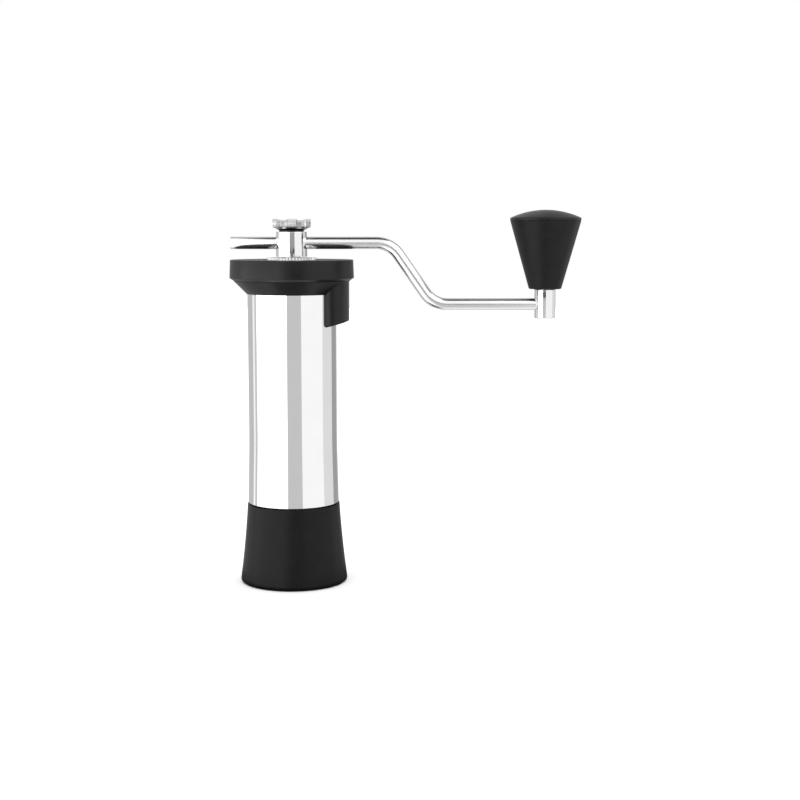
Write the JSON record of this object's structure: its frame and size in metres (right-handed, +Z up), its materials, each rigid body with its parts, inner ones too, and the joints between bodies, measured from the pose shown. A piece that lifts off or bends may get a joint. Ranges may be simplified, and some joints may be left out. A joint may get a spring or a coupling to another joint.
{
  "type": "hand crank coffee grinder",
  "caption": "Hand coffee grinder: steel tube on a black catch cup, black lid and thumb rest, grind dial, and a bent steel crank with a conical turning knob.",
  "frame": {"origin": "centre of the catch cup's flat underside", "axes": "+Z up along the shaft, +X from the shaft towards the crank's knob, +Y the remaining horizontal axis"},
  "size_m": [0.2022, 0.0716, 0.2164],
  "materials": {
    "aluminium": "machined",
    "black_plastic": "fine satin",
    "burr_steel": "hardened and ground",
    "bush_brass": "turned",
    "crank_steel": "fine satin polish",
    "cup_plastic": "fine satin",
    "dial_steel": "turned, with a notched edge",
    "knob_plastic": "fine satin",
    "plain_steel": "turned and ground",
    "polished_steel": "bright polished",
    "seal_rubber": "matt",
    "spring_steel": "drawn or stamped"
  },
  "bodies": {
    "barrel": {"body_tube": "polished_steel", "hopper_collar": "black_plastic", "collar_screws": "plain_steel", "upper_spider": "aluminium", "lower_spider": "aluminium", "upper_bearing_outer_ring": "plain_steel", "lower_bearing_outer_ring": "plain_steel", "upper_circlip": "spring_steel", "lower_circlip": "spring_steel", "outer_burr": "burr_steel", "burr_retaining_ring": "aluminium", "cup_seal": "seal_rubber"},
    "spindle_seat": {"upper_bearing_inner_ring": "plain_steel", "lower_bearing_inner_ring": "plain_steel", "thrust_sleeve": "plain_steel", "spring_washer": "plain_steel"},
    "upper_cage": {"upper_bearing_cage": "bush_brass", "upper_bearing_balls": "plain_steel"},
    "lower_cage": {"lower_bearing_cage": "bush_brass", "lower_bearing_balls": "plain_steel"},
    "dial": {"adjustment_dial": "dial_steel"},
    "shaft": {"main_shaft": "plain_steel", "inner_burr": "burr_steel", "burr_drive_pin": "plain_steel", "burr_washer": "plain_steel", "burr_screw": "plain_steel", "preload_spring": "spring_steel"},
    "crank": {"crank_hub": "crank_steel", "crank_arm": "crank_steel", "counter_stub": "crank_steel", "crank_post": "crank_steel", "knob_spindle": "plain_steel", "knob_washer": "plain_steel", "knob_clip": "spring_steel"},
    "thumb_washer": {"thumb_washer": "black_plastic"},
    "thumb_screw": {"thumb_screw": "crank_steel"},
    "knob": {"knob_grip": "knob_plastic", "knob_cap": "knob_plastic", "knob_bush_lower": "bush_brass", "knob_bush_upper": "bush_brass"},
    "lid": {"lid": "black_plastic"},
    "cup": {"cup_shell": "cup_plastic", "cup_base": "cup_plastic"}
  },
  "joints": [
    {"name": "crank_spin", "type": "hinge", "parent": "barrel", "child": "spindle_seat", "pos_m": [0, 0, 0], "axis": [0, 0, 1], "continuous": true},
    {"name": "upper_cage_spin", "type": "hinge", "parent": "barrel", "child": "upper_cage", "pos_m": [0, 0, 0], "axis": [0, 0, 1], "continuous": true},
    {"name": "lower_cage_spin", "type": "hinge", "parent": "barrel", "child": "lower_cage", "pos_m": [0, 0, 0], "axis": [0, 0, 1], "continuous": true},
    {"name": "dial_turn", "type": "hinge", "parent": "spindle_seat", "child": "dial", "pos_m": [0, 0, 0], "axis": [0, 0, 1], "range_deg": [-361, 181]},
    {"name": "shaft_lift", "type": "slide", "parent": "spindle_seat", "child": "shaft", "axis": [0, 0, 1], "range_m": [-0.0005, 0.001], "deforming": ["preload_spring"]},
    {"name": "crank_lift", "type": "slide", "parent": "shaft", "child": "crank", "axis": [0, 0, 1], "range_m": [0, 0.06]},
    {"name": "screw_rise", "type": "slide", "parent": "crank", "child": "thumb_washer", "axis": [0, 0, 1], "range_m": [0, 0.0081]},
    {"name": "screw_turn", "type": "hinge", "parent": "thumb_washer", "child": "thumb_screw", "pos_m": [0, 0, 0], "axis": [0, 0, 1], "range_deg": [0, 3600]},
    {"name": "knob_spin", "type": "hinge", "parent": "crank", "child": "knob", "pos_m": [0.146, 0, 0], "axis": [0, 0, 1], "continuous": true},
    {"name": "lid_lift", "type": "slide", "parent": "barrel", "child": "lid", "axis": [0, 0, 1], "range_m": [0, 0.0511]},
    {"name": "cup_pull", "type": "slide", "parent": "barrel", "child": "cup", "axis": [0, 0, -1], "range_m": [0, 0.08]}
  ],
  "couplings": [
    {"joint": "upper_cage_spin", "follows": "crank_spin", "ratio": 0.40625},
    {"joint": "lower_cage_spin", "follows": "crank_spin", "ratio": 0.40625},
    {"joint": "dial_turn", "follows": "shaft_lift", "rad_per_m": -6283.2},
    {"joint": "screw_rise", "follows": "screw_turn", "m_per_rad": 0.00012732},
    {"joint": "lid_lift", "follows": "crank_lift", "ratio": 0.85}
  ]
}
